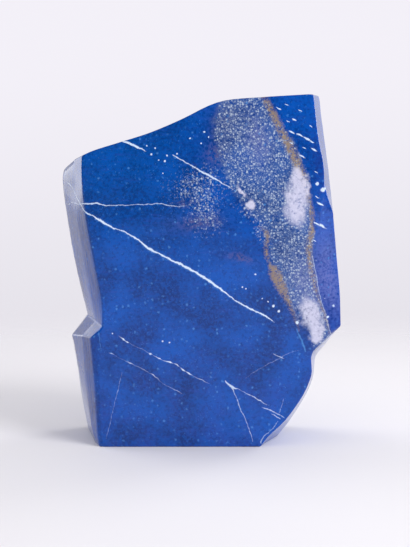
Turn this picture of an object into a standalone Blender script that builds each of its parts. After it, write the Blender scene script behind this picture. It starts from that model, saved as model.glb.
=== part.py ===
"""A polished freeform of lapis lazuli that stands on its cut base, 150 mm tall.

The stone is one piece. Its front is one broad flat face, its left side leans outwards in two
bands, and a notch is ground into each side. The shape is lofted through six outlines, one behind
the other from the front face to the back face, each a smooth curve between its corners. One more
facet is ground across the upper back, and then every ground edge is eased.
"""

from math import ceil, radians
from typing import NamedTuple

import bmesh
import bpy
from mathutils import Vector

# Driving dimensions, in millimetres: how far each outline lies behind the front face
MM = 0.001
RIM_DEPTH = 2.5
FOLD_DEPTH = 8.5
SHOULDER_DEPTH = 23.0
REAR_DEPTH = 39.0
THICKNESS = 48.0

# About this far apart, in millimetres, the rows of the loft follow each other along the outlines
ROW_SPACING = 4.5

# The facet across the upper back: a point on it, as x, depth and z, and the way it faces
BACK_FACET_POINT = (20.0, THICKNESS, 138.0)
BACK_FACET_FACING = (0.42, 0.74, 0.52)
PLANE_WITHIN = 0.001

# Eased edges, in millimetres: edges that turn less than EASED_FROM, in degrees, are soft folds
EASED_EDGE = 0.6
EASED_STEPS = 3
EASED_FROM = 34.5

# Finish of the stone
LAPIS_BLUE = (0.012, 0.075, 0.32, 1.0)
POLISH_ROUGHNESS = 0.16

COLLECTION = "lapis_lazuli_freeform"
STONE = "lapis_stone"


class Station(NamedTuple):
    """One line across the side of the stone, from the front face back to the back face.

    Each pair is x and z in millimetres, on the outline of that name.
    """

    place: str
    front: tuple
    fold: tuple
    shoulder: tuple
    rear: tuple
    back: tuple


# Place, front, fold, shoulder, rear and back, up the left side, over the top and down the right
STATION_LINES = (
    ("base left", (-42.6, 0.0), (-46.0, 0.0), (-48.6, 0.0), (-51.2, 0.0), (-49.0, 0.0)),
    ("left foot", (-42.9, 4.5), (-47.3, 4.5), (-49.3, 4.5), (-52.0, 3.0), (-50.2, 4.0)),
    ("left shin", (-43.5, 22.5), (-49.5, 22.5), (-53.1, 22.5), (-55.2, 21.5), (-52.8, 21.5)),
    ("left ledge", (-43.5, 50.2), (-51.4, 46.8), (-57.1, 45.4), (-56.6, 44.4), (-53.0, 45.4)),
    ("left notch", (-42.2, 51.6), (-45.6, 53.2), (-50.0, 54.2), (-50.2, 54.6), (-48.0, 55.0)),
    ("left waist", (-42.2, 61.5), (-47.2, 61.5), (-51.9, 61.0), (-51.4, 61.4), (-48.4, 62.0)),
    ("left flank", (-45.6, 80.5), (-50.5, 81.0), (-56.3, 80.5), (-55.4, 80.4), (-51.8, 81.0)),
    ("left chest", (-48.7, 97.5), (-53.2, 98.0), (-59.1, 98.0), (-58.0, 97.0), (-54.2, 97.0)),
    ("left arm", (-50.2, 111.0), (-53.8, 111.2), (-60.7, 110.5), (-59.2, 109.5), (-54.6, 108.5)),
    ("corner low", (-50.4, 119.8), (-54.4, 118.8), (-60.9, 116.0), (-59.0, 113.8), (-54.0, 112.0)),
    ("corner high", (-50.2, 124.4), (-54.0, 122.7), (-59.0, 119.0), (-57.0, 116.6), (-52.0, 114.8)),
    ("slope foot", (-45.8, 126.4), (-47.3, 125.4), (-50.0, 123.0), (-49.0, 120.6), (-46.0, 117.6)),
    ("slope low", (-34.0, 130.1), (-34.4, 129.6), (-35.6, 128.0), (-36.0, 125.6), (-35.0, 121.6)),
    ("slope", (-22.0, 133.9), (-22.5, 133.4), (-23.5, 131.9), (-24.0, 129.8), (-23.5, 125.6)),
    ("slope high", (-8.0, 139.8), (-8.5, 139.2), (-9.5, 137.9), (-10.0, 135.8), (-10.0, 131.2)),
    ("bend low", (3.0, 145.3), (2.6, 144.7), (2.0, 143.3), (2.0, 141.0), (2.0, 136.2)),
    ("bend high", (10.0, 147.5), (9.6, 147.0), (9.3, 145.9), (9.0, 143.4), (8.0, 138.8)),
    ("top", (26.0, 148.9), (26.1, 148.5), (26.4, 147.7), (26.0, 145.0), (24.0, 140.6)),
    ("top right", (44.6, 150.0), (45.6, 150.0), (47.4, 150.0), (46.0, 146.2), (41.5, 142.0)),
    ("corner right", (46.9, 149.9), (48.4, 149.9), (50.9, 149.8), (49.2, 145.4), (44.8, 139.8)),
    ("right arm", (49.2, 131.0), (50.8, 130.8), (53.6, 130.5), (52.4, 128.5), (47.8, 125.0)),
    ("right elbow", (51.3, 121.0), (52.7, 120.8), (55.0, 120.5), (53.6, 118.5), (49.0, 116.0)),
    ("right chest", (51.7, 112.0), (53.4, 111.8), (56.1, 111.5), (54.8, 110.0), (50.0, 108.5)),
    ("facet top", (50.4, 101.0), (56.3, 100.5), (57.4, 100.0), (56.0, 99.0), (51.2, 98.0)),
    ("facet", (47.0, 81.5), (57.9, 82.2), (58.5, 82.0), (57.2, 82.0), (52.0, 81.0)),
    ("facet foot", (50.2, 65.5), (59.2, 66.0), (59.8, 65.5), (58.6, 66.0), (53.5, 66.0)),
    ("right tip", (54.7, 49.2), (59.7, 51.2), (60.4, 48.9), (59.2, 49.4), (54.2, 51.0)),
    ("right notch", (47.4, 41.3), (48.5, 39.3), (50.2, 36.1), (51.0, 37.2), (49.2, 38.5)),
    ("waist high", (46.6, 38.8), (47.8, 37.1), (49.8, 34.0), (50.4, 34.6), (48.8, 35.6)),
    ("waist low", (47.0, 32.7), (47.9, 31.2), (49.5, 28.8), (49.6, 28.2), (47.6, 28.6)),
    ("hip", (46.1, 28.8), (47.1, 27.3), (48.6, 24.9), (49.0, 23.8), (46.8, 23.8)),
    ("chamfer high", (43.2, 22.3), (44.3, 20.9), (46.1, 18.9), (46.8, 17.9), (44.2, 17.8)),
    ("chamfer low", (35.7, 11.6), (36.8, 9.8), (38.6, 6.8), (40.4, 6.6), (38.2, 6.2)),
    ("right foot", (28.2, 4.2), (30.0, 3.0), (34.4, 1.5), (37.5, 2.6), (35.6, 3.0)),
    ("base right", (25.0, 0.0), (27.7, 0.0), (33.2, 0.0), (36.2, 0.0), (33.4, 0.0)),
)
STATIONS = tuple(Station(*line) for line in STATION_LINES)

# The outlines turn sharply at these places, and flow smoothly through the others
CORNERS = {
    "base left",
    "left ledge",
    "left notch",
    "corner high",
    "top right",
    "corner right",
    "facet top",
    "right tip",
    "right notch",
    "base right",
}

# Two long narrow facets slope back from the front face. These are their outer edges: x, depth, z
FACET_RIM = {
    "base left": (-43.8, 0.9, 0.0),
    "left foot": (-44.4, 0.9, 4.5),
    "left shin": (-45.3, 1.0, 22.5),
    "left ledge": (-47.3, 1.3, 47.0),
    "right chest": (52.0, 1.0, 111.9),
    "facet top": (55.6, 1.8, 100.6),
    "facet": (57.4, 3.4, 82.2),
    "facet foot": (58.9, 2.9, 66.2),
    "right tip": (59.3, 1.8, 52.0),
}


def clear_scene():
    """Removes whatever the scene holds."""
    for found in list(bpy.data.objects):
        bpy.data.objects.remove(found, do_unlink=True)


def placed(pair, depth):
    """A point of an outline that lies this far behind the front face."""
    return Vector((pair[0], depth, pair[1]))


def across_the_side(station):
    """The six points of one station, front to back, in metres."""
    front = placed(station.front, 0.0)
    fold = placed(station.fold, FOLD_DEPTH)
    plain_rim = front.lerp(fold, RIM_DEPTH / FOLD_DEPTH)
    line = (
        front,
        Vector(FACET_RIM.get(station.place, plain_rim)),
        fold,
        placed(station.shoulder, SHOULDER_DEPTH),
        placed(station.rear, REAR_DEPTH),
        placed(station.back, THICKNESS),
    )
    return [point * MM for point in line]


def on_the_curve(before, start, end, after, share):
    """A point this share of the way from start to end, on a centripetal Catmull-Rom curve."""
    knots = (before, start, end, after)
    times = [0.0]
    for knot, following in zip(knots, knots[1:]):
        times.append(times[-1] + (following - knot).length ** 0.5)
    time = times[1] + share * (times[2] - times[1])

    def blend(first, last, low, high):
        return first.lerp(last, (time - times[low]) / (times[high] - times[low]))

    legs = [blend(knots[step], knots[step + 1], step, step + 1) for step in range(3)]
    arcs = [blend(legs[step], legs[step + 1], step, step + 2) for step in range(2)]
    return blend(arcs[0], arcs[1], 1, 2)


def rows_between(before, here, following, after):
    """Rows on smooth curves from here up to the following station. None stands for a corner."""
    if before is None and after is None:
        return [here]
    longest = max((end - start).length for start, end in zip(here, following))
    steps = ceil(longest / (ROW_SPACING * MM))
    before = before or [start * 2 - end for start, end in zip(here, following)]
    after = after or [end * 2 - start for start, end in zip(here, following)]
    knots = list(zip(before, here, following, after))
    return [[on_the_curve(*four, step / steps) for four in knots] for step in range(steps)]


def all_rows():
    """Every row of points across the side: the stations and what lies between them."""
    lines = [across_the_side(station) for station in STATIONS]
    turns = [station.place in CORNERS for station in STATIONS]
    rows = []
    for number in range(len(lines) - 1):
        before = None if turns[number] else lines[number - 1]
        after = None if turns[number + 1] else lines[number + 2]
        rows += rows_between(before, lines[number], lines[number + 1], after)
    return rows + [lines[-1]]


def loft_stone(bm):
    """Skins the rows, and closes the front, the back and the base with one flat face each."""
    rows = [[bm.verts.new(point) for point in row] for row in all_rows()]
    for here, following in zip(rows, rows[1:]):
        for near, far in zip(range(len(here)), range(1, len(here))):
            bm.faces.new((here[near], here[far], following[far], following[near]))
    bm.faces.new([row[0] for row in rows])
    bm.faces.new([row[-1] for row in reversed(rows)])
    bm.faces.new(rows[0][::-1] + rows[-1])
    bmesh.ops.recalc_face_normals(bm, faces=bm.faces)


def grind_back_facet(bm):
    """Cuts the upper back corner off along one plane, and closes the cut."""
    cut = bmesh.ops.bisect_plane(
        bm,
        geom=bm.verts[:] + bm.edges[:] + bm.faces[:],
        dist=PLANE_WITHIN * MM,
        plane_co=Vector(BACK_FACET_POINT) * MM,
        plane_no=Vector(BACK_FACET_FACING).normalized(),
        clear_outer=True,
    )
    rim = [item for item in cut["geom_cut"] if isinstance(item, bmesh.types.BMEdge)]
    bmesh.ops.contextual_create(bm, geom=rim)
    bmesh.ops.recalc_face_normals(bm, faces=bm.faces)


def set_on_origin(bm):
    """Moves the stone so that the origin is under the middle of its box, on the floor."""
    spots = [vert.co for vert in bm.verts]
    low = Vector(min(spot[axis] for spot in spots) for axis in range(3))
    high = Vector(max(spot[axis] for spot in spots) for axis in range(3))
    middle = (low + high) / 2
    bmesh.ops.translate(bm, verts=bm.verts, vec=(-middle.x, -middle.y, -low.z))


def polished_lapis():
    """The stone's material: deep blue with a waxy polish."""
    material = bpy.data.materials.new("polished_lapis")
    material.use_nodes = True
    shader = material.node_tree.nodes["Principled BSDF"]
    shader.inputs["Base Color"].default_value = LAPIS_BLUE
    shader.inputs["Roughness"].default_value = POLISH_ROUGHNESS
    shader.inputs["Metallic"].default_value = 0.0
    material.diffuse_color = LAPIS_BLUE
    return material


def ease_edges(stone):
    """Rounds the ground edges of the stone a little, as its polishing does."""
    bevel = stone.modifiers.new("eased edges", "BEVEL")
    bevel.width = EASED_EDGE * MM
    bevel.segments = EASED_STEPS
    bevel.limit_method = "ANGLE"
    bevel.angle_limit = radians(EASED_FROM)
    bevel.miter_outer = "MITER_ARC"
    bevel.use_clamp_overlap = False
    bevel.harden_normals = True


def build_stone(collection):
    """Makes the stone as one object in the collection."""
    bm = bmesh.new()
    loft_stone(bm)
    grind_back_facet(bm)
    set_on_origin(bm)
    mesh = bpy.data.meshes.new(STONE)
    bm.to_mesh(mesh)
    bm.free()
    mesh.materials.append(polished_lapis())
    mesh.shade_smooth()
    mesh.set_sharp_from_angle(angle=radians(EASED_FROM))
    stone = bpy.data.objects.new(STONE, mesh)
    collection.objects.link(stone)
    ease_edges(stone)
    return stone


def main():
    clear_scene()
    collection = bpy.data.collections.new(COLLECTION)
    bpy.context.scene.collection.children.link(collection)
    build_stone(collection)


main()
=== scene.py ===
"""A polished freeform of lapis lazuli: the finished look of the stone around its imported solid.

The stone is one piece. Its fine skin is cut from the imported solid, softened by hand polishing and
dressed in one solid pattern that runs through the whole rock: blue ground, a band of grey
speckle with golden margins, pale calcite, and white veins that are sheets in the rock.
Lengths are millimetres here unless a name says otherwise, and the scene itself is in metres.
"""

from __future__ import annotations

import logging
from collections.abc import Mapping, Sequence
from dataclasses import dataclass, field
from enum import Enum
from math import ceil, cos, floor, hypot, radians, sin

import bmesh
import bpy
import numpy as np
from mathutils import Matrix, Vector, kdtree


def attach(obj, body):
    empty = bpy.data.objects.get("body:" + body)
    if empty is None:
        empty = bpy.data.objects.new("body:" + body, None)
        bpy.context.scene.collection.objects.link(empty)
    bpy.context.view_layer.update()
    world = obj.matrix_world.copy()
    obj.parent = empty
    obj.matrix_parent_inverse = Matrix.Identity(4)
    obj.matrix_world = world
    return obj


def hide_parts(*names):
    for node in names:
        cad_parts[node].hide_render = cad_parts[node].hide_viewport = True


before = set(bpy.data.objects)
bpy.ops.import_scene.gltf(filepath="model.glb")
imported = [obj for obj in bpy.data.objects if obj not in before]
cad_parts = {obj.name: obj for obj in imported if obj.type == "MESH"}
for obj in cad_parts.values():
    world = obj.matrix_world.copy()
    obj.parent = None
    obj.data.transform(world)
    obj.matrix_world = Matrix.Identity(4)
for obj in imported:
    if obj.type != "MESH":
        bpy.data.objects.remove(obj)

MM = 0.001
VEIN_END = 0.01
STONE_NODE = "lapis_stone"
FRONT = -24.0
THICKNESS = 48.0

log = logging.getLogger("lapis")


class Field:
    """A value that changes over the surface: one shader socket with Python's operators."""

    def __init__(self, bench: "Bench", socket: bpy.types.NodeSocket) -> None:
        """Keeps the socket and the bench whose tree holds it."""
        self.bench = bench
        self.socket = socket

    def __add__(self, other: "Number") -> "Field":
        """This plus the other."""
        return self.bench.maths("ADD", self, other)

    def __radd__(self, other: "Number") -> "Field":
        """The other plus this."""
        return self.bench.maths("ADD", other, self)

    def __sub__(self, other: "Number") -> "Field":
        """This less the other."""
        return self.bench.maths("SUBTRACT", self, other)

    def __rsub__(self, other: "Number") -> "Field":
        """The other less this."""
        return self.bench.maths("SUBTRACT", other, self)

    def __mul__(self, other: "Number") -> "Field":
        """This times the other."""
        return self.bench.maths("MULTIPLY", self, other)

    def __rmul__(self, other: "Number") -> "Field":
        """The other times this."""
        return self.bench.maths("MULTIPLY", other, self)

    def __abs__(self) -> "Field":
        """This without its sign."""
        return self.bench.maths("ABSOLUTE", self)

    def greatest(self, other: "Number") -> "Field":
        """The greater of this and the other."""
        return self.bench.maths("MAXIMUM", self, other)

    def least(self, other: "Number") -> "Field":
        """The lesser of this and the other."""
        return self.bench.maths("MINIMUM", self, other)

    def line(self, slope: float, offset: "Number") -> "Field":
        """This times a slope plus an offset, in one node."""
        return self.bench.maths("MULTIPLY_ADD", self, slope, offset)

    def rise(self, low: float, high: float) -> "Field":
        """Goes smoothly from 0 to 1 as this goes from low to high."""
        return self.bench.ramp(self, low, high, "SMOOTHSTEP")

    def climb(self, low: float, high: float) -> "Field":
        """Goes straight from 0 to 1 as this goes from low to high."""
        return self.bench.ramp(self, low, high, "LINEAR")

    def bell(self) -> "Field":
        """One where this is 0, falling off on both sides as a bell does."""
        return self.bench.maths("EXPONENT", (self * self) * -1.0)


Number = Field | float | int


class Bench:
    """Makes and joins the nodes of one shader tree."""

    def __init__(self, tree: bpy.types.NodeTree) -> None:
        """Keeps the tree to work in."""
        self.tree = tree

    def node(
        self,
        kind: str,
        settings: Mapping[str, object] | None = None,
        inputs: Mapping[str | int, object] | None = None,
    ) -> bpy.types.Node:
        """Adds one node.

        Args:
            kind: the node's type, such as ShaderNodeMath.
            settings: properties that are set before any socket is.
            inputs: a constant, a socket or a Field for each named or numbered input.

        Returns:
            The new node.
        """
        made = self.tree.nodes.new(kind)
        for name, setting in (settings or {}).items():
            setattr(made, name, setting)
        for name, given in (inputs or {}).items():
            source = given.socket if isinstance(given, Field) else given
            if isinstance(source, bpy.types.NodeSocket):
                self.tree.links.new(source, made.inputs[name])
            else:
                made.inputs[name].default_value = source
        return made

    def maths(self, operation: str, *terms: Number) -> Field:
        """One Math node on up to three numbers."""
        made = self.node("ShaderNodeMath", {"operation": operation}, dict(enumerate(terms)))
        return Field(self, made.outputs[0])

    def ramp(self, value: Field, low: float, high: float, style: str) -> Field:
        """Goes from 0 to 1 as the value goes from low to high, and stays there outside.

        Args:
            value: what is measured.
            low: where the result is 0.
            high: where the result is 1.
            style: how it goes between them, as Map Range names it.

        Returns:
            The result, between 0 and 1.
        """
        inputs = {"Value": value, "From Min": low, "From Max": high}
        made = self.node("ShaderNodeMapRange", {"interpolation_type": style}, inputs)
        return Field(self, made.outputs["Result"])

    def curve(self, value: Field, points: Sequence[tuple[float, float]], style: str) -> Field:
        """Reads a drawn curve.

        Args:
            value: where to read it, between 0 and 1.
            points: the curve's points, from left to right.
            style: how the points are joined, AUTO for a flowing line or VECTOR for a straight one.

        Returns:
            The curve's height there. It stays level past both ends.
        """
        made = self.node("ShaderNodeFloatCurve", None, {"Value": value})
        mapping = made.mapping
        mapping.extend = "HORIZONTAL"
        drawn = mapping.curves[0].points
        while len(drawn) < len(points):
            drawn.new(0.5, 0.5)
        for spot, (across, height) in zip(drawn, points):
            spot.location = (across, height)
            spot.handle_type = style
        mapping.update()
        return Field(self, made.outputs[0])

    def noise(self, place: object, per_mm: float, detail: float = 2.0, rough: float = 0.5) -> Field:
        """Cloudy noise between 0 and 1.

        Args:
            place: the vector to read it at.
            per_mm: how many clouds there are to a millimetre.
            detail: how many finer layers it has.
            rough: how strong the finer layers are.

        Returns:
            The noise.
        """
        inputs = {"Vector": place, "Scale": per_mm, "Detail": detail, "Roughness": rough}
        made = self.node("ShaderNodeTexNoise", {"noise_dimensions": "3D"}, inputs)
        return Field(self, made.outputs["Fac"])

    def grains(self, place: object, per_mm: float) -> tuple[Field, Field]:
        """Crystal grains: how far from a grain's middle, and a number that each grain has.

        Args:
            place: the vector to read them at.
            per_mm: how many grains there are to a millimetre.

        Returns:
            The distance, in grains, and the grain's own number between 0 and 1.
        """
        made = self.node("ShaderNodeTexVoronoi", None, {"Vector": place, "Scale": per_mm})
        parts = self.node("ShaderNodeSeparateColor", None, {"Color": made.outputs["Color"]})
        return Field(self, made.outputs["Distance"]), Field(self, parts.outputs[0])

    def vector(self, x: Number, y: Number, z: Number) -> bpy.types.NodeSocket:
        """A vector from three numbers."""
        return self.node("ShaderNodeCombineXYZ", None, {"X": x, "Y": y, "Z": z}).outputs[0]

    def blend(self, share: Number, below: object, above: object) -> bpy.types.NodeSocket:
        """One colour laid over another.

        Args:
            share: how much of the upper colour shows.
            below: the lower colour, a socket or a constant.
            above: the upper colour, a socket or a constant.

        Returns:
            The socket of the mixed colour.
        """
        made = self.node("ShaderNodeMix", {"data_type": "RGBA", "clamp_factor": True})
        sockets = (made.inputs[0], made.inputs[6], made.inputs[7])
        for socket, given in zip(sockets, (share, below, above)):
            source = given.socket if isinstance(given, Field) else given
            if isinstance(source, bpy.types.NodeSocket):
                self.tree.links.new(source, socket)
            else:
                socket.default_value = source
        return made.outputs[2]


class Fill(Enum):
    """What a marking is filled with."""

    CALCITE = "calcite"
    PALE_BLUE = "pale blue"
    GOLD = "gold"


@dataclass(frozen=True)
class Place:
    """Where a point of the rock lies: the coordinates that every marking reads.

    Attributes:
        x: across, on the front face, with the fine wander of the veins.
        z: up, on the front face, with the fine wander of the veins.
        depth: how far behind the front face.
        ragged: fine noise about 0 that frays the edges of markings.
    """

    x: Field
    z: Field
    depth: Field
    ragged: Field


@dataclass(frozen=True)
class Vein:
    """A thin sheet of mineral in the rock, which shows as a line where a face cuts it.

    Attributes:
        path: points on the front face in order: x, z and the vein's width there.
        fill: what it is filled with.
        strength: how much it covers the rock.
        soft: how far its edge fades out.
        lean: how far it moves in x and z for each millimetre behind the front face.
        reach: how deep it goes before it has died out.
        fray: how strongly its edge is frayed.
        style: how the width runs between the points, VECTOR for beads.
    """

    path: tuple[tuple[float, float, float], ...]
    fill: Fill = Fill.CALCITE
    strength: float = 1.0
    soft: float = 0.22
    lean: tuple[float, float] = (0.0, 0.0)
    reach: float = 0.0
    fray: float = 0.35
    style: str = "AUTO"

    def cover(self, bench: Bench, place: Place) -> Field:
        """How much the vein covers a point of the rock.

        Args:
            bench: where the nodes are made.
            place: the rock's coordinates.

        Returns:
            From 0 off the vein to its strength on it.
        """
        first, last = self.path[0], self.path[-1]
        length = hypot(last[0] - first[0], last[1] - first[1])
        along = ((last[0] - first[0]) / length, (last[1] - first[1]) / length)
        x, z = place.x, place.z
        if self.lean != (0.0, 0.0):
            x = place.depth.line(-self.lean[0], x)
            z = place.depth.line(-self.lean[1], z)
        room = 1.0 - 2.0 * VEIN_END
        start = VEIN_END - room * (first[0] * along[0] + first[1] * along[1]) / length
        share = x.line(room * along[0] / length, z.line(room * along[1] / length, start))
        aside = x.line(-along[1], z.line(along[0], first[0] * along[1] - first[1] * along[0]))
        marks = [self._in_chord(point, first, along) for point in self.path]
        spots = [VEIN_END + room * mark[0] / length for mark in marks]
        bow = max(abs(mark[1]) for mark in marks)
        if bow > 0.0:
            course = [(spot, 0.5 + 0.5 * mark[1] / bow) for spot, mark in zip(spots, marks)]
            aside = aside - bench.curve(share, course, "AUTO").line(2.0 * bow, -bow)
        # The curve's floor stands for a millimetre short of any vein, so that nothing shows past the ends
        reach = 1.0 + 0.5 * max(point[2] for point in self.path)
        widths = [(spot, (1.0 + 0.5 * point[2]) / reach) for spot, point in zip(spots, self.path)]
        half = bench.curve(share, [(0.0, 0.0), *widths, (1.0, 0.0)], self.style).line(reach, -1.0)
        edge = place.ragged.line(self.fray, half - abs(aside))
        cover = edge.climb(-0.1 * self.soft, self.soft) * self.strength
        if self.reach > 0.0:
            cover = cover * place.depth.rise(self.reach, 0.4 * self.reach)
        return cover

    @staticmethod
    def _in_chord(
        point: tuple[float, float, float],
        first: tuple[float, float, float],
        along: tuple[float, float],
    ) -> tuple[float, float]:
        """How far along the vein's chord a point of its path lies, and how far beside it."""
        across, up = point[0] - first[0], point[1] - first[1]
        return across * along[0] + up * along[1], up * along[0] - across * along[1]


@dataclass(frozen=True)
class Flecks:
    """Small separate crystals that lie the same way.

    Attributes:
        spots: x, z and radius of each, on the front face.
        slant: which way they are drawn out, in degrees up from +X.
        stretch: how many times longer than wide they are.
        fill: what they are; it is not used.
        reach: how deep they go.
    """

    spots: tuple[tuple[float, float, float], ...]
    slant: float = 0.0
    stretch: float = 1.0
    fill: Fill = Fill.CALCITE
    reach: float = 2.5

    def cover(self, bench: Bench, place: Place) -> Field:
        """How much the flecks cover a point of the rock.

        Args:
            bench: where the nodes are made.
            place: the rock's coordinates.

        Returns:
            From 0 between the flecks to 1 on them.
        """
        run, climb = cos(radians(self.slant)), sin(radians(self.slant))
        along = place.x.line(run / self.stretch, place.z * (climb / self.stretch))
        aside = place.x.line(-climb, place.z * run)
        here = bench.vector(along, aside, place.depth * (1.0 / self.reach))
        cover: Field | None = None
        for x, z, radius in self.spots:
            middle = ((x * run + z * climb) / self.stretch, z * run - x * climb, 0.0)
            settings = {"operation": "DISTANCE"}
            apart = bench.node("ShaderNodeVectorMath", settings, {0: here, 1: middle})
            nearness = Field(bench, apart.outputs["Value"]).line(-1.0 / radius, 1.0)
            cover = nearness if cover is None else cover.greatest(nearness)
        return place.ragged.line(0.5, cover).rise(0.0, 0.55)


@dataclass(frozen=True)
class Patch:
    """A soft-edged zone of the rock, an ellipse on the front face.

    Attributes:
        x: its middle across.
        z: its middle up.
        half_length: from the middle to its soft edge, the long way.
        half_width: the same, across it.
        turn: which way its length runs, in degrees up from +X.
    """

    x: float
    z: float
    half_length: float
    half_width: float
    turn: float = 90.0

    def amount(self, bench: Bench, x: Field, z: Field) -> Field:
        """How much of the patch there is at a point.

        Args:
            bench: where the nodes are made.
            x: the zone's own coordinate across.
            z: the zone's own coordinate up.

        Returns:
            1 in the middle, about a third at the edge, and falling to 0 outside.
        """
        run, climb = cos(radians(self.turn)), sin(radians(self.turn))
        start = -(self.x * run + self.z * climb) / self.half_length
        along = x.line(run / self.half_length, z.line(climb / self.half_length, start))
        start = (self.x * climb - self.z * run) / self.half_width
        aside = x.line(-climb / self.half_width, z.line(run / self.half_width, start))
        return bench.maths("EXPONENT", bench.maths("MULTIPLY_ADD", along, along, aside * aside) * -1.0)


MAIN_COURSE = (
    (-60.0, 106.2, 0.5),
    (-48.6, 100.4, 0.6),
    (-44.3, 98.2, 0.75),
    (-40.6, 95.8, 1.0),
    (-36.3, 93.7, 0.55),
    (-30.9, 91.5, 0.6),
    (-25.5, 88.2, 0.75),
    (-21.7, 85.0, 1.1),
    (-16.9, 82.6, 0.7),
    (-12.6, 80.4, 0.75),
    (-6.1, 77.2, 1.15),
    (-3.1, 75.5, 0.8),
    (1.6, 72.7, 1.1),
    (7.2, 68.8, 1.0),
    (13.9, 63.7, 0.55),
    (17.5, 61.4, 0.75),
    (22.1, 59.0, 0.65),
    (26.3, 57.0, 0.8),
    (30.9, 53.8, 0.1),
)

VEINS = (
    Vein(MAIN_COURSE, lean=(0.0, 0.5), fray=0.5),
    Vein(
        tuple((x, z - 0.1, 1.9 * width) for x, z, width in MAIN_COURSE),
        fill=Fill.PALE_BLUE,
        strength=0.55,
        soft=0.9,
        lean=(0.0, 0.5),
        fray=1.6,
    ),
    Vein(
        (
            (-60.0, 102.8, 0.3),
            (-49.7, 104.0, 0.55),
            (-44.3, 104.2, 0.8),
            (-40.0, 103.4, 0.55),
            (-29.2, 103.6, 0.36),
            (-18.5, 104.1, 0.4),
            (-14.7, 103.8, 0.5),
            (-9.0, 103.0, 0.3),
            (-3.7, 104.6, 0.0),
        ),
        strength=0.85,
    ),
    Vein(((-33.5, 130.4, 0.5), (-28.6, 128.8, 1.0), (-23.0, 126.0, 0.15)), lean=(0.0, 0.4)),
    Vein(
        (
            (-12.3, 124.9, 0.0),
            (-10.3, 123.7, 0.55),
            (-5.0, 120.8, 0.5),
            (0.4, 117.6, 0.8),
            (3.0, 116.3, 1.0),
            (8.6, 113.1, 0.6),
            (14.0, 109.9, 0.2),
        ),
        lean=(0.0, 0.4),
        strength=0.9,
    ),
    Vein(
        (
            (-35.2, 48.1, 0.0),
            (-33.6, 47.0, 0.45),
            (-32.8, 46.4, 0.9),
            (-32.0, 45.9, 0.35),
            (-31.2, 45.3, 0.75),
            (-30.2, 44.7, 0.12),
            (-24.4, 41.8, 0.16),
            (-22.2, 40.7, 0.12),
            (-21.4, 40.2, 0.9),
            (-20.4, 39.8, 0.12),
            (-17.6, 38.2, 0.6),
            (-16.4, 37.6, 0.1),
            (-13.0, 36.6, 0.8),
            (-11.4, 35.9, 0.1),
            (-10.2, 35.4, 0.6),
            (-9.0, 34.6, 0.1),
            (-7.6, 33.4, 0.9),
            (-6.4, 32.6, 0.2),
            (-5.2, 31.8, 0.7),
            (-3.4, 30.8, 0.1),
            (0.6, 28.9, 0.4),
            (4.2, 27.3, 0.0),
        ),
        style="VECTOR",
        fray=0.12,
        lean=(0.1, 0.3),
    ),
    Vein(
        (
            (-39.4, 40.9, 0.0),
            (-38.2, 40.4, 0.5),
            (-36.6, 39.6, 0.1),
            (-32.0, 37.2, 0.12),
            (-30.2, 36.2, 0.5),
            (-28.2, 35.3, 0.14),
            (-24.4, 33.4, 0.3),
            (-22.0, 32.0, 0.14),
            (-20.4, 31.0, 0.55),
            (-18.2, 29.4, 0.3),
            (-16.8, 27.9, 0.1),
            (-9.6, 24.0, 0.35),
            (-7.0, 22.8, 0.0),
        ),
        style="VECTOR",
        strength=0.85,
        fray=0.12,
        lean=(0.1, 0.3),
    ),
    Vein(
        ((13.0, 26.4, 0.9), (14.5, 23.1, 0.4), (16.6, 17.3, 0.45), (19.2, 11.6, 0.4), (22.3, 2.4, 0.2)),
        strength=0.7,
        lean=(0.2, -0.1),
    ),
    Vein(
        (
            (10.2, 28.9, 0.3),
            (12.0, 27.0, 0.9),
            (13.5, 25.9, 1.1),
            (16.1, 24.9, 0.3),
            (22.8, 21.5, 0.5),
            (25.6, 19.9, 0.45),
            (28.9, 17.9, 0.1),
        ),
        strength=0.85,
        lean=(0.0, 0.3),
    ),
    Vein(((25.9, 17.5, 0.1), (29.6, 15.9, 0.5), (33.2, 14.2, 0.4), (35.6, 12.6, 0.2)), strength=0.8),
    Vein(((30.2, 14.5, 0.1), (32.0, 13.3, 0.5), (33.8, 12.1, 0.3)), strength=0.8),
    Vein(((33.0, 11.2, 0.2), (29.6, 6.9, 0.35), (26.4, 3.7, 0.5), (25.9, 1.2, 0.6)), strength=0.55),
    Vein(((35.4, 21.0, 0.1), (34.4, 17.6, 0.28), (33.4, 14.4, 0.1)), strength=0.5),
    Vein(
        ((19.0, 29.6, 0.1), (26.3, 34.6, 0.25), (32.5, 37.7, 0.3), (36.7, 40.1, 0.25), (42.6, 41.2, 0.1)),
        strength=0.4,
    ),
    Vein(((30.6, 40.3, 0.1), (32.0, 39.7, 0.5), (35.4, 38.3, 0.15)), strength=0.7),
    Vein(((-33.5, 32.5, 0.12), (-37.4, 16.3, 0.26), (-40.6, 3.7, 0.12)), strength=0.4, reach=1.5),
    Vein(
        ((-43.3, 50.0, 0.25), (-43.0, 46.0, 0.34), (-42.5, 41.0, 0.15)),
        fill=Fill.PALE_BLUE,
        strength=0.8,
        reach=3.0,
    ),
    Vein(
        ((40.2, 51.4, 0.3), (42.0, 48.0, 0.9), (44.6, 41.2, 0.7)),
        fill=Fill.PALE_BLUE,
        strength=0.9,
        soft=0.5,
    ),
    Vein(
        ((47.1, 82.5, 0.2), (49.1, 72.4, 0.34), (50.5, 65.3, 0.34), (53.0, 56.9, 0.3), (55.2, 48.6, 0.3)),
        strength=0.75,
        fray=0.1,
        reach=3.0,
    ),
)

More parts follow.
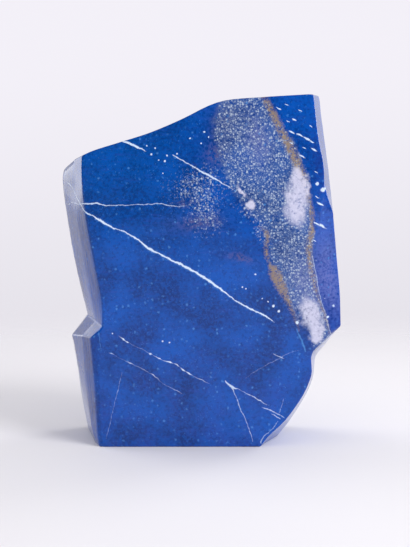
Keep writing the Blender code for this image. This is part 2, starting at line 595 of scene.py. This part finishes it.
GOLD_MARGINS = (
    Vein(
        (
            (25.5, 150.5, 3.2),
            (28.6, 145.1, 3.6),
            (33.7, 135.1, 4.2),
            (38.2, 126.3, 4.6),
            (41.9, 117.9, 4.4),
            (44.7, 109.5, 3.0),
            (46.6, 101.0, 2.6),
            (46.9, 93.0, 3.0),
            (45.6, 85.8, 3.2),
            (46.3, 78.2, 2.6),
            (47.9, 70.9, 2.6),
            (50.1, 63.3, 1.2),
            (53.0, 55.6, 1.4),
            (55.6, 47.0, 0.9),
        ),
        fill=Fill.GOLD,
        soft=1.6,
        lean=(0.35, -0.1),
        fray=2.6,
    ),
    Vein(
        (
            (22.0, 94.0, 1.0),
            (27.6, 92.0, 2.2),
            (27.9, 88.8, 2.4),
            (27.6, 84.5, 2.4),
            (29.0, 79.0, 2.0),
            (31.2, 75.0, 5.6),
            (33.5, 70.1, 5.2),
            (36.7, 63.3, 3.0),
            (39.8, 55.6, 1.6),
            (42.0, 50.0, 0.6),
        ),
        fill=Fill.GOLD,
        soft=1.4,
        lean=(0.35, -0.1),
        fray=2.4,
    ),
)

BAND_LEFT = (
    (0.0, 46.6),
    (43.6, 46.4),
    (48.3, 43.8),
    (54.3, 40.4),
    (60.3, 37.0),
    (65.8, 33.2),
    (72.7, 30.2),
    (80.3, 28.4),
    (88.8, 27.0),
    (95.1, 24.0),
    (100.6, 19.6),
    (105.7, 15.0),
    (112.0, 10.5),
    (120.0, 8.0),
    (126.7, 5.4),
    (135.1, 5.0),
    (147.2, 6.4),
    (160.0, 9.0),
)
BAND_RIGHT = (
    (0.0, 62.0),
    (40.0, 58.0),
    (49.2, 55.3),
    (58.2, 52.7),
    (67.5, 50.1),
    (76.1, 48.3),
    (83.7, 47.2),
    (90.9, 48.0),
    (99.4, 48.0),
    (107.8, 46.9),
    (116.2, 45.1),
    (125.9, 41.3),
    (134.2, 36.6),
    (143.4, 31.1),
    (160.0, 20.0),
)

TICKS = Flecks(
    (
        (32.7, 144.0, 0.3),
        (36.0, 145.6, 0.24),
        (39.2, 139.4, 0.28),
        (36.6, 138.6, 0.22),
        (41.6, 143.2, 0.24),
        (38.2, 134.2, 0.4),
        (41.5, 132.9, 0.42),
        (44.6, 131.4, 0.5),
        (46.6, 130.2, 0.34),
        (47.6, 126.8, 0.42),
        (42.6, 124.1, 0.4),
        (38.0, 129.6, 0.24),
        (43.4, 127.6, 0.22),
        (46.2, 136.6, 0.22),
        (48.6, 117.4, 0.22),
        (50.5, 104.0, 0.44),
        (49.0, 106.9, 0.24),
        (48.9, 95.9, 0.4),
        (51.8, 94.3, 0.75),
        (54.6, 92.9, 0.6),
        (53.2, 93.0, 0.4),
        (51.0, 90.4, 0.28),
        (54.4, 86.6, 0.42),
        (52.4, 87.8, 0.3),
        (53.6, 81.2, 0.3),
        (52.2, 99.0, 0.26),
        (53.4, 101.0, 0.22),
        (48.2, 88.6, 0.3),
        (52.7, 63.9, 0.3),
    ),
    slant=-27.0,
    stretch=4.5,
)
SINGLE_GRAINS = Flecks(
    (
        (26.2, 63.9, 0.34),
        (28.6, 62.6, 0.4),
        (30.8, 60.8, 0.75),
        (33.2, 58.5, 0.7),
        (17.5, 68.8, 0.4),
        (19.1, 68.1, 0.45),
        (23.2, 74.1, 0.45),
        (-20.7, 125.0, 0.5),
        (-19.2, 127.5, 0.45),
        (-14.1, 124.5, 0.5),
        (-15.2, 121.9, 0.6),
        (-17.6, 122.6, 0.4),
        (-15.9, 117.0, 0.4),
        (-10.2, 124.9, 0.42),
        (-22.6, 128.6, 0.36),
        (1.4, 134.4, 0.5),
        (3.4, 132.1, 0.42),
        (0.1, 129.4, 0.45),
        (-4.5, 131.7, 0.45),
        (49.0, 112.5, 0.85),
        (51.4, 109.9, 1.2),
        (52.4, 110.6, 0.8),
        (56.5, 60.7, 1.0),
        (54.0, 56.0, 0.7),
        (41.0, 53.6, 0.8),
        (-37.6, 49.0, 0.4),
        (-16.4, 45.6, 0.42),
        (-13.4, 44.9, 0.4),
    ),
)

CALCITE_PATCHES = (
    Patch(39.8, 103.4, 10.2, 5.2, 97.0),
    Patch(42.4, 114.0, 7.0, 2.6, 112.0),
    Patch(46.2, 57.0, 9.5, 5.4, 104.0),
    Patch(49.6, 47.6, 3.4, 3.0, 90.0),
    Patch(16.9, 109.2, 3.2, 1.1, 112.0),
    Patch(21.0, 103.2, 2.6, 1.8, 90.0),
)
# Soft patches of greyish violet: haze in the rock, and near the right edge a painted reflection of the pale
# room
HAZE_AND_SHEEN_PATCHES = (
    Patch(23.8, 131.0, 9.5, 4.4, 100.0),
    Patch(54.6, 72.0, 17.0, 4.0, 98.0),
    Patch(45.0, 70.0, 12.0, 7.0, 90.0),
)
BROWN_PATCHES = (
    Patch(10.6, 139.0, 11.0, 5.2, 85.0),
    Patch(6.6, 124.4, 5.0, 4.2, 0.0),
    Patch(-1.0, 96.2, 9.0, 2.8, 8.0),
    Patch(16.6, 81.4, 5.0, 1.5, -16.0),
    Patch(-6.0, 104.0, 3.4, 1.0, 12.0),
)
CLUSTER_PATCHES = (
    Patch(-1.5, 112.0, 10.5, 7.0, 20.0),
    Patch(3.0, 100.0, 8.0, 7.0, 60.0),
    Patch(25.0, 93.0, 7.0, 3.6, 120.0),
    Patch(20.0, 101.5, 5.6, 4.0, 140.0),
)
CLEAR_PATCHES = (Patch(14.6, 98.0, 7.4, 4.0, 135.0), Patch(17.6, 93.4, 6.0, 4.0, 120.0))


@dataclass(frozen=True)
class LapisFinish:
    """The polished rock: its colours, the scale of its grain, and its gloss.

    Attributes:
        deep: the darkest blue ground.
        bright: the clear azure ground.
        teal: the greener blue of the upper left.
        violet: the hazier blue of the lower right, and the painted reflection of the pale room along the
            right edge.
        speckle: the grey-blue of the speckled band between its grains.
        grain: the white grains.
        calcite: pale calcite in patches and veins.
        vein: the brighter calcite of veins and flecks.
        pale_blue: the light blue beside the veins.
        veil_and_sheen: a greyish violet in soft patches, a haze in the rock and, near the right edge, a
            painted reflection of the pale room.
        film_and_sheen: a greyish dulling of the left side faces, partly a dull skin on the stone and partly
            a painted reflection of the pale room that lightens them.
        gold: the golden-brown margins of the band.
        rust: the brown stain here and there.
        polish: roughness of the polished blue.
        dull: roughness of the softer calcite.
        shine: how strongly the polish mirrors, where 0.5 is plain glass.
    """

    deep: tuple = (0.0004, 0.030, 0.190, 1.0)
    bright: tuple = (0.0008, 0.080, 0.43, 1.0)
    teal: tuple = (0.0004, 0.066, 0.265, 1.0)
    violet: tuple = (0.020, 0.064, 0.40, 1.0)
    speckle: tuple = (0.060, 0.118, 0.28, 1.0)
    grain: tuple = (0.44, 0.52, 0.64, 1.0)
    calcite: tuple = (0.60, 0.60, 0.76, 1.0)
    vein: tuple = (0.60, 0.72, 0.90, 1.0)
    pale_blue: tuple = (0.06, 0.24, 0.62, 1.0)
    veil_and_sheen: tuple = (0.20, 0.21, 0.46, 1.0)
    film_and_sheen: tuple = (0.20, 0.19, 0.25, 1.0)
    gold: tuple = (0.30, 0.215, 0.125, 1.0)
    rust: tuple = (0.13, 0.085, 0.13, 1.0)
    polish: float = 0.14
    dull: float = 0.32
    shine: float = 0.36

    def material(self) -> bpy.types.Material:
        """Builds the finish as one solid pattern.

        Returns:
            The material.
        """
        material = bpy.data.materials.new("polished_lapis")
        material.use_nodes = True
        material.node_tree.nodes.clear()
        bench = Bench(material.node_tree)
        where = bench.node("ShaderNodeTexCoord").outputs["Object"]
        scaled = bench.node(
            "ShaderNodeVectorMath", {"operation": "SCALE"}, {0: where, "Scale": 1.0 / MM}
        ).outputs[0]
        split = bench.node("ShaderNodeSeparateXYZ", None, {"Vector": scaled})
        x, y, z = (Field(bench, socket) for socket in split.outputs)
        depth = y - FRONT

        cloud = bench.noise(scaled, 0.045, 2.0)
        drift = bench.noise(scaled, 0.11, 3.0, 0.55)
        wander = bench.noise(scaled, 0.34, 2.0)
        waver = bench.noise(bench.vector(z, x, y), 0.42, 2.0)
        mottle = bench.noise(scaled, 0.85, 3.0, 0.62)
        fine = bench.noise(scaled, 2.6, 2.0, 0.6)
        stretched = bench.vector(x * 0.16, y, z * 1.25)
        streak = bench.noise(stretched, 0.9, 3.0, 0.6)
        upright = bench.noise(bench.vector(x, y, z * 0.08), 0.8, 2.0, 0.6)
        shaken = bench.node("ShaderNodeTexNoise", None, {"Vector": scaled, "Scale": 1.6, "Detail": 1.0})
        settings = {"operation": "MULTIPLY_ADD"}
        shaking = {0: shaken.outputs["Color"], 1: (0.9, 0.9, 0.9), 2: scaled}
        bent = bench.node("ShaderNodeVectorMath", settings, shaking).outputs[0]

        far = depth.climb(0.0, THICKNESS)
        place = Place(
            x=wander.line(1.1, x + (cloud - 0.5) * far * 22.0 - 0.55),
            z=waver.line(1.1, z + (drift - 0.5) * far * 18.0 - 0.55),
            depth=depth,
            ragged=fine + mottle - 1.0,
        )
        # Zones follow the same rock, with a wider wander of their own
        zone_x = drift.line(5.0, depth.line(-0.35, place.x) + wander.line(3.4, -4.2))
        zone_z = cloud.line(5.0, depth.line(0.1, place.z) + waver.line(3.4, -4.2))

        def most(parts: Sequence[Vein | Flecks], fill: Fill) -> Field:
            chosen = [part.cover(bench, place) for part in parts if part.fill is fill]
            total = chosen[0]
            for part in chosen[1:]:
                total = total.greatest(part)
            return total

        def all_of(patches: Sequence[Patch]) -> Field:
            total = patches[0].amount(bench, zone_x, zone_z)
            for patch in patches[1:]:
                total = total + patch.amount(bench, zone_x, zone_z)
            return total

        margin = 160.0
        height = zone_z * (1.0 / margin)
        left = bench.curve(height, [(up / margin, across / margin) for up, across in BAND_LEFT], "AUTO")
        right = bench.curve(height, [(up / margin, across / margin) for up, across in BAND_RIGHT], "AUTO")
        inside = (zone_x - left * margin).rise(-1.0, 3.6) * (right * margin - zone_x).rise(-0.6, 1.6)
        cluster = all_of(CLUSTER_PATCHES).least(1.0)
        clear = all_of(CLEAR_PATCHES).least(1.0)
        density = (inside * 0.85).greatest(cluster) * (1.0 - clear * 1.0)
        density = density.greatest(0.0)

        # The blue ground
        blue = bench.blend(cloud.rise(0.35, 0.7), self.deep, self.bright)
        upper = z.rise(60.0, 125.0) * x.rise(20.0, -30.0)
        blue = bench.blend(upper * 0.55, blue, self.teal)
        haze = z.rise(70.0, 10.0) * drift.rise(0.35, 0.75)
        blue = bench.blend(haze * 0.5, blue, self.violet)
        # Painted reflection: the blue turns violet towards the right edge, where the curving face mirrors
        # the pale room
        blue = bench.blend(x.rise(44.0, 52.0) * 0.45, blue, self.violet)
        blue = bench.blend(mottle.rise(0.42, 0.66) * 0.55, blue, self.bright)
        blue = bench.blend(mottle.rise(0.5, 0.32) * 0.55, blue, self.deep)
        blue = bench.blend(streak.rise(0.52, 0.75) * 0.30, blue, self.violet)
        stain = all_of(BROWN_PATCHES) * mottle.rise(0.38, 0.6)
        blue = bench.blend(stain * 0.55, blue, self.rust)

        # Grains: a fine scatter everywhere, and a dense one in the band and the cluster
        near, own = bench.grains(bent, 1.05)
        finer, finer_own = bench.grains(bent, 2.0)
        sparse, sparse_own = bench.grains(bent, 0.40)
        scatter = (0.27 - sparse).climb(0.0, 0.2) * sparse_own.rise(0.35, 1.0)
        dusting = (0.5 - finer).climb(0.0, 0.3) * finer_own.rise(0.8, 1.0) * drift.rise(0.3, 0.6)
        crowd = (0.56 - near).climb(0.0, 0.3) * (own + density * 0.8 - 1.0).climb(0.0, 0.55)
        crumbs = (0.6 - finer).climb(0.0, 0.35) * (finer_own + density * 0.7 - 1.0).climb(0.0, 0.5)

        ground = bench.blend(inside * 0.62 * mottle.rise(0.25, 0.62), blue, self.speckle)
        # Greyish violet patches: haze in the rock, and near the right edge a painted reflection of the pale
        # room
        veil_and_sheen = all_of(HAZE_AND_SHEEN_PATCHES) * mottle.rise(0.2, 0.7)
        ground = bench.blend(veil_and_sheen * 0.55, ground, self.veil_and_sheen)
        ground = bench.blend(scatter * 0.75, ground, self.pale_blue)
        ground = bench.blend(dusting * 0.5, ground, self.pale_blue)
        ground = bench.blend(crumbs * 0.55, ground, self.grain)
        ground = bench.blend(crowd * 0.9, ground, self.grain)

        gold = most(GOLD_MARGINS, Fill.GOLD) * (mottle + fine).rise(0.75, 1.1)
        ground = bench.blend(gold * 0.85, ground, self.gold)
        milk = all_of(CALCITE_PATCHES).rise(0.3, 0.85)
        ground = bench.blend(milk * mottle.rise(0.1, 0.55) * 0.9, ground, self.calcite)

        halo = most(VEINS, Fill.PALE_BLUE)
        ground = bench.blend(halo, ground, self.pale_blue)
        white = most(VEINS, Fill.CALCITE)
        white = white.greatest(TICKS.cover(bench, place)).greatest(SINGLE_GRAINS.cover(bench, place))
        colour = bench.blend(white, ground, self.vein)
        # Painted reflection on the left side faces: grey vertical streaks lighten them in place of the pale
        # room mirrored there, together with a dull skin
        film_and_sheen_share = depth.rise(0.8, 3.5) * x.rise(-37.0, -46.0) * upright.rise(0.2, 0.75)
        colour = bench.blend(film_and_sheen_share * 0.5, colour, self.film_and_sheen)

        soft = (white + milk * 0.7 + crowd * 0.35 + gold * 0.4).least(1.0)
        gloss = soft.line(self.dull - self.polish, streak.line(0.06, self.polish - 0.03))
        relief = streak.line(0.25, fine * 0.2) - soft * 0.5
        bump = bench.node(
            "ShaderNodeBump", None, {"Strength": 0.12, "Distance": 0.04 * MM, "Height": relief}
        )
        shader = bench.node(
            "ShaderNodeBsdfPrincipled",
            None,
            {
                "Base Color": colour,
                "Roughness": gloss,
                "Normal": bump.outputs[0],
                "Specular IOR Level": self.shine,
            },
        )
        bench.node("ShaderNodeOutputMaterial", None, {"Surface": shader.outputs[0]})
        return material


@dataclass
class PolishedStone:
    """The one piece of the object: the stone's fine skin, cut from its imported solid.

    Attributes:
        finish: the rock's pattern and gloss.
        cell: how far apart the cuts are that divide the skin.
        eased_width: faces narrower than this belong to the eased edges.
        calm: how far from an eased edge the softening has its full strength.
        passes: how many times the skin is softened.
        wave: how far the polished faces rise and fall.
        waves_per_mm: how close those waves are.
        seed: which waves they are.
    """

    finish: LapisFinish = field(default_factory=LapisFinish)
    cell: float = 1.3
    eased_width: float = 0.4
    calm: float = 3.0
    passes: int = 14
    wave: float = 0.07
    waves_per_mm: float = 0.045
    seed: float = 4.0

    def build(self) -> bpy.types.Object:
        """Makes the finished stone and puts it in the scene.

        Returns:
            The stone's object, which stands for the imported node.
        """
        skin = self._fine_skin()
        self._soften(skin)
        stone = bpy.data.objects.new("polished_stone", skin)
        bpy.context.scene.collection.objects.link(stone)
        material = self.finish.material()
        self._hand_polish(stone, material)
        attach(stone, "root")
        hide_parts(STONE_NODE)
        return stone

    def _fine_skin(self) -> bpy.types.Mesh:
        """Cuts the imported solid's faces into small cells.

        Returns:
            The divided mesh, with the eased edges marked in its free attribute as 0.
        """
        bm = bmesh.new()
        bm.from_mesh(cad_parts[STONE_NODE].data)
        bmesh.ops.remove_doubles(bm, verts=bm.verts, dist=0.001 * MM)
        bmesh.ops.dissolve_limit(
            bm, angle_limit=radians(0.02), verts=bm.verts, edges=bm.edges, use_dissolve_boundaries=False
        )
        eased = bm.faces.layers.int.new("eased")
        for face in bm.faces:
            longest = max(edge.calc_length() for edge in face.edges)
            if face.calc_area() / longest < 0.5 * self.eased_width * MM * (2 if len(face.verts) > 3 else 1):
                face[eased] = 1
        for axis in range(3):
            self._cut_along(bm, axis)
        free = bm.verts.layers.float.new("free")
        held = [vert.co.copy() for vert in bm.verts if any(face[eased] for face in vert.link_faces)]
        tree = kdtree.KDTree(len(held))
        for number, spot in enumerate(held):
            tree.insert(spot, number)
        tree.balance()
        for vert in bm.verts:
            apart = tree.find(vert.co)[2] / (self.calm * MM)
            on_base = vert.co.z < 0.01 * MM
            vert[free] = 0.0 if on_base else min(1.0, apart) ** 2
        bm.faces.layers.int.remove(eased)
        bmesh.ops.triangulate(bm, faces=[face for face in bm.faces if len(face.verts) > 4])
        skin = bpy.data.meshes.new("polished_stone")
        bm.to_mesh(skin)
        bm.free()
        skin.shade_smooth()
        return skin

    def _cut_along(self, bm: bmesh.types.BMesh, axis: int) -> None:
        """Cuts the faces along evenly spaced planes, each face only where a plane meets it.

        Args:
            bm: the mesh to cut.
            axis: which way the planes face.
        """
        touching = 0.002 * MM
        spans = [vert.co[axis] for vert in bm.verts]
        low, high = min(spans), max(spans)
        count = ceil((high - low) / (self.cell * MM))
        step = (high - low) / count
        waiting: list[list[bmesh.types.BMFace]] = [[] for _ in range(count)]

        def queue(face: bmesh.types.BMFace) -> None:
            reach = [vert.co[axis] for vert in face.verts]
            slab = floor((min(reach) - low + touching) / step)
            if slab < count - 1 and max(reach) > low + step * (slab + 1) + touching:
                waiting[slab].append(face)

        for face in bm.faces:
            queue(face)
        facing = Vector(1.0 if way == axis else 0.0 for way in range(3))
        for slab, faces in enumerate(waiting):
            if not faces:
                continue
            height = low + step * (slab + 1)
            edges = {edge for face in faces for edge in face.edges}
            verts = {vert for face in faces for vert in face.verts}
            cut = bmesh.ops.bisect_plane(
                bm,
                geom=[*faces, *edges, *verts],
                dist=0.5 * touching,
                plane_co=facing * height,
                plane_no=facing,
            )
            for item in cut["geom"]:
                if isinstance(item, bmesh.types.BMFace):
                    if item.calc_center_median()[axis] > height:
                        queue(item)

    def _soften(self, skin: bpy.types.Mesh) -> None:
        """Rounds the soft folds between the ground bands, and leaves the eased edges crisp.

        Args:
            skin: the divided mesh, which is changed in place.
        """
        count = len(skin.vertices)
        spots = np.empty(count * 3)
        skin.vertices.foreach_get("co", spots)
        spots = spots.reshape(-1, 3)
        ends = np.empty(len(skin.edges) * 2, int)
        skin.edges.foreach_get("vertices", ends)
        one, other = ends.reshape(-1, 2).T
        free = np.empty(count)
        skin.attributes["free"].data.foreach_get("value", free)
        neighbours = np.bincount(one, minlength=count) + np.bincount(other, minlength=count)
        for _ in range(self.passes):
            pull = np.empty_like(spots)
            for axis in range(3):
                total = np.bincount(one, spots[other, axis], count)
                total += np.bincount(other, spots[one, axis], count)
                pull[:, axis] = total / neighbours - spots[:, axis]
            spots += 0.5 * free[:, None] * pull
        skin.vertices.foreach_set("co", spots.ravel())
        skin.update()

    def _hand_polish(self, stone: bpy.types.Object, material: bpy.types.Material) -> None:
        """Gives the faces the slow waves of polishing by hand, with Geometry Nodes.

        Args:
            stone: the stone's object, which takes the finished mesh.
            material: what the tree's last node sets.
        """
        tree = self._polish_tree(material)
        modifier = stone.modifiers.new("hand polish", "NODES")
        modifier.node_group = tree
        sizes = {"Wave": self.wave * MM, "Waves": self.waves_per_mm / MM, "Seed": self.seed}
        for item in tree.interface.items_tree:
            if item.name in sizes and item.in_out == "INPUT":
                modifier[item.identifier] = sizes[item.name]
        corners = stone.modifiers.new("even corners", "WEIGHTED_NORMAL")
        corners.weight = 80
        evaluated = stone.evaluated_get(bpy.context.evaluated_depsgraph_get())
        finished = bpy.data.meshes.new_from_object(evaluated)
        stone.modifiers.clear()
        stone.data = finished
        finished.name = "polished_stone"

    def _polish_tree(self, material: bpy.types.Material) -> bpy.types.NodeTree:
        """Builds the tree that moves the skin in and out a little.

        Args:
            material: what Set Material gives the skin.

        Returns:
            The tree, with inputs for the waves' height, closeness and seed.
        """
        tree = bpy.data.node_groups.new("hand polish", "GeometryNodeTree")
        sockets = tree.interface
        sockets.new_socket("Geometry", in_out="INPUT", socket_type="NodeSocketGeometry")
        for name in ("Wave", "Waves", "Seed"):
            sockets.new_socket(name, in_out="INPUT", socket_type="NodeSocketFloat")
        sockets.new_socket("Geometry", in_out="OUTPUT", socket_type="NodeSocketGeometry")
        bench = Bench(tree)
        given = bench.node("NodeGroupInput").outputs
        noise = bench.node(
            "ShaderNodeTexNoise",
            {"noise_dimensions": "4D"},
            {
                "Vector": bench.node("GeometryNodeInputPosition").outputs[0],
                "W": given["Seed"],
                "Scale": given["Waves"],
                "Detail": 1.0,
            },
        )
        free = bench.node("GeometryNodeInputNamedAttribute", {"data_type": "FLOAT"}, {"Name": "free"})
        height = (Field(bench, noise.outputs[0]) - 0.5) * Field(bench, given["Wave"]) * 4.0
        height = height * Field(bench, free.outputs["Attribute"])
        shift = bench.node(
            "ShaderNodeVectorMath",
            {"operation": "SCALE"},
            {0: bench.node("GeometryNodeInputNormal").outputs[0], "Scale": height},
        )
        moved = bench.node(
            "GeometryNodeSetPosition", None, {"Geometry": given["Geometry"], "Offset": shift.outputs[0]}
        )
        whole = bench.node("GeometryNodeRealizeInstances", None, {"Geometry": moved.outputs[0]})
        dressed = bench.node(
            "GeometryNodeSetMaterial", None, {"Geometry": whole.outputs[0], "Material": material}
        )
        bench.node("NodeGroupOutput", None, {0: dressed.outputs[0]})
        return tree


@dataclass
class Softbox:
    """One soft studio light, aimed at the stone.

    Attributes:
        name: what the light is called.
        spot: where it stands, in metres.
        width: its size across, in metres.
        height: its size up, in metres.
        power: its power in watts.
        colour: the colour of its light.
    """

    name: str
    spot: tuple[float, float, float]
    width: float
    height: float
    power: float
    colour: tuple[float, float, float] = (1.0, 0.99, 0.98)

    def build(self) -> bpy.types.Object:
        """Adds the light to the scene.

        Returns:
            The light's object.
        """
        light = bpy.data.lights.new(self.name, "AREA")
        light.shape = "RECTANGLE"
        light.size = self.width
        light.size_y = self.height
        light.energy = self.power
        light.color = self.colour
        made = bpy.data.objects.new(self.name, light)
        made.location = self.spot
        aim = Vector((0.0, 0.0, 0.07)) - made.location
        made.rotation_euler = aim.to_track_quat("-Z", "Y").to_euler()
        made.visible_camera = False
        bpy.context.scene.collection.objects.link(made)
        return made


@dataclass
class Studio:
    """A plain pale floor, soft light, and the camera.

    Attributes:
        floor_radius: how far the floor reaches, in metres.
        clear_from: where the floor begins to fade for the camera, in metres from the stone.
        clear_to: where it has faded out.
        floor_colour: the floor's paint.
        lights: the softboxes.
        camera_spot: where the camera stands, in metres.
        camera_dip: how far it looks down, in degrees.
        lens_mm: its lens, for a sensor 36 mm tall.
    """

    floor_radius: float = 1.6
    clear_from: float = 0.12
    clear_to: float = 0.5
    floor_colour: tuple = (0.80, 0.79, 0.82, 1.0)
    lights: tuple[Softbox, ...] = (
        Softbox("key_front_right", (0.75, -0.75, 0.75), 0.6, 0.6, 11.0),
        Softbox("side_back_left", (-0.95, 0.62, 0.35), 0.9, 1.2, 7.0),
        Softbox("side_back_right", (0.8, 0.75, 0.4), 0.5, 0.8, 6.0),
    )
    camera_spot: tuple[float, float, float] = (0.00177, -0.674, 0.135)
    camera_dip: float = 5.312
    lens_mm: float = 101.46

    def build(self) -> None:
        """Sets up the floor, the light and the camera."""
        self._floor()
        self._surroundings()
        for softbox in self.lights:
            softbox.build()
        self._camera()

    def _floor(self) -> None:
        """Lays the floor: a disc that fades out for the camera before its rim."""
        mesh = bpy.data.meshes.new("floor")
        bm = bmesh.new()
        bmesh.ops.create_circle(bm, cap_ends=True, segments=96, radius=self.floor_radius)
        bm.to_mesh(mesh)
        bm.free()
        floor = bpy.data.objects.new("floor", mesh)
        bpy.context.scene.collection.objects.link(floor)
        material = bpy.data.materials.new("pale_floor")
        material.use_nodes = True
        material.node_tree.nodes.clear()
        bench = Bench(material.node_tree)
        where = bench.node("ShaderNodeTexCoord").outputs["Object"]
        length = bench.node("ShaderNodeVectorMath", {"operation": "LENGTH"}, {0: where})
        away = Field(bench, length.outputs["Value"]).rise(self.clear_from, self.clear_to)
        seen = Field(bench, bench.node("ShaderNodeLightPath").outputs["Is Camera Ray"])
        paint = bench.node(
            "ShaderNodeBsdfPrincipled",
            None,
            {"Base Color": self.floor_colour, "Roughness": 0.6, "Specular IOR Level": 0.2},
        )
        clear = bench.node("ShaderNodeBsdfTransparent")
        both = bench.node(
            "ShaderNodeMixShader", None, {0: away * seen, 1: paint.outputs[0], 2: clear.outputs[0]}
        )
        bench.node("ShaderNodeOutputMaterial", None, {"Surface": both.outputs[0]})
        mesh.materials.append(material)

    def _surroundings(self) -> None:
        """Lights the room: a pale backdrop behind, and a darker room behind the camera."""
        world = bpy.data.worlds.new("studio")
        bpy.context.scene.world = world
        world.use_nodes = True
        world.node_tree.nodes.clear()
        bench = Bench(world.node_tree)
        way = bench.node("ShaderNodeTexCoord").outputs["Generated"]
        split = bench.node("ShaderNodeSeparateXYZ", None, {"Vector": way})
        x, y, z = (Field(bench, socket) for socket in split.outputs)
        backdrop = bench.blend(z.rise(-0.18, 0.06), (0.775, 0.755, 0.81, 1.0), (0.90, 0.875, 0.94, 1.0))
        back = y.rise(-0.25, 0.85) * z.rise(0.85, 0.2)
        mirrored = bench.blend(back, (0.012, 0.012, 0.014, 1.0), (0.75, 0.74, 0.77, 1.0))
        rays = bench.node("ShaderNodeLightPath").outputs
        lit = bench.blend(Field(bench, rays["Is Glossy Ray"]), (0.62, 0.61, 0.63, 1.0), mirrored)
        colour = bench.blend(Field(bench, rays["Is Camera Ray"]), lit, backdrop)
        light = bench.node("ShaderNodeBackground", None, {"Color": colour, "Strength": 1.0})
        bench.node("ShaderNodeOutputWorld", None, {"Surface": light.outputs[0]})

    def _camera(self) -> None:
        """Puts the camera at the photograph's height, distance and angle."""
        lens = bpy.data.cameras.new("camera")
        lens.sensor_width = 36.0
        lens.lens = self.lens_mm
        lens.clip_start = 0.01
        camera = bpy.data.objects.new("camera", lens)
        camera.location = self.camera_spot
        camera.rotation_euler = (radians(90.0 - self.camera_dip), 0.0, 0.0)
        bpy.context.scene.collection.objects.link(camera)
        bpy.context.scene.camera = camera


def main() -> None:
    """Builds the studio and the stone, and notes how large the stone is."""
    logging.basicConfig(level=logging.INFO, format="%(name)s: %(message)s")
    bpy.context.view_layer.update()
    bpy.context.scene.view_settings.view_transform = "Standard"
    Studio().build()
    stone = PolishedStone().build()
    log.info("%s: %d faces", stone.name, len(stone.data.polygons))


if __name__ == "__main__":
    main()
